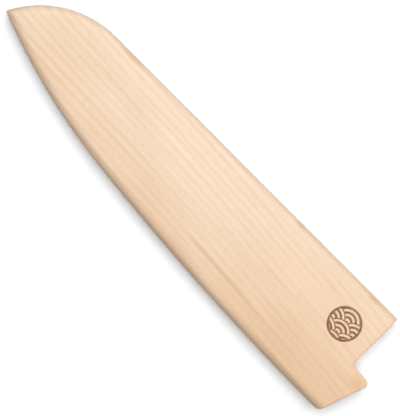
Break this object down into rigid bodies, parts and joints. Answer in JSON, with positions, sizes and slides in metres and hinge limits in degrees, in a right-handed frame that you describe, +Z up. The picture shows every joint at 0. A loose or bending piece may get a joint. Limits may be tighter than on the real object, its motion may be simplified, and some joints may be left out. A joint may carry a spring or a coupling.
{
  "type": "knife blade guard",
  "caption": "Slip-on wooden guard for a long kitchen knife: two rounded-over panels glued to a thin core, with a blade slot, a notch for the bolster and a heel tab, held on by hidden magnets.",
  "frame": {"origin": "under the middle of the guard's outline, on the flat of the back panel that it lies on", "axes": "+X from the tip to the mouth, +Y from the belly to the spine, +Z up, out of the front panel"},
  "size_m": [0.229, 0.0534, 0.012],
  "materials": {
    "maple": "bare maple, sanded smooth, with a thin clear oil",
    "nickel": "bright nickel plating"
  },
  "bodies": {
    "root": {"front_panel": "maple", "back_panel": "maple", "spine_spacer": "maple", "edge_spacer": "maple", "front_plug_1": "maple", "front_plug_2": "maple", "front_plug_3": "maple", "front_plug_4": "maple", "back_plug_1": "maple", "back_plug_2": "maple", "back_plug_3": "maple", "back_plug_4": "maple", "front_magnet_1": "nickel", "front_magnet_2": "nickel", "front_magnet_3": "nickel", "front_magnet_4": "nickel", "back_magnet_1": "nickel", "back_magnet_2": "nickel", "back_magnet_3": "nickel", "back_magnet_4": "nickel"}
  },
  "joints": []
}
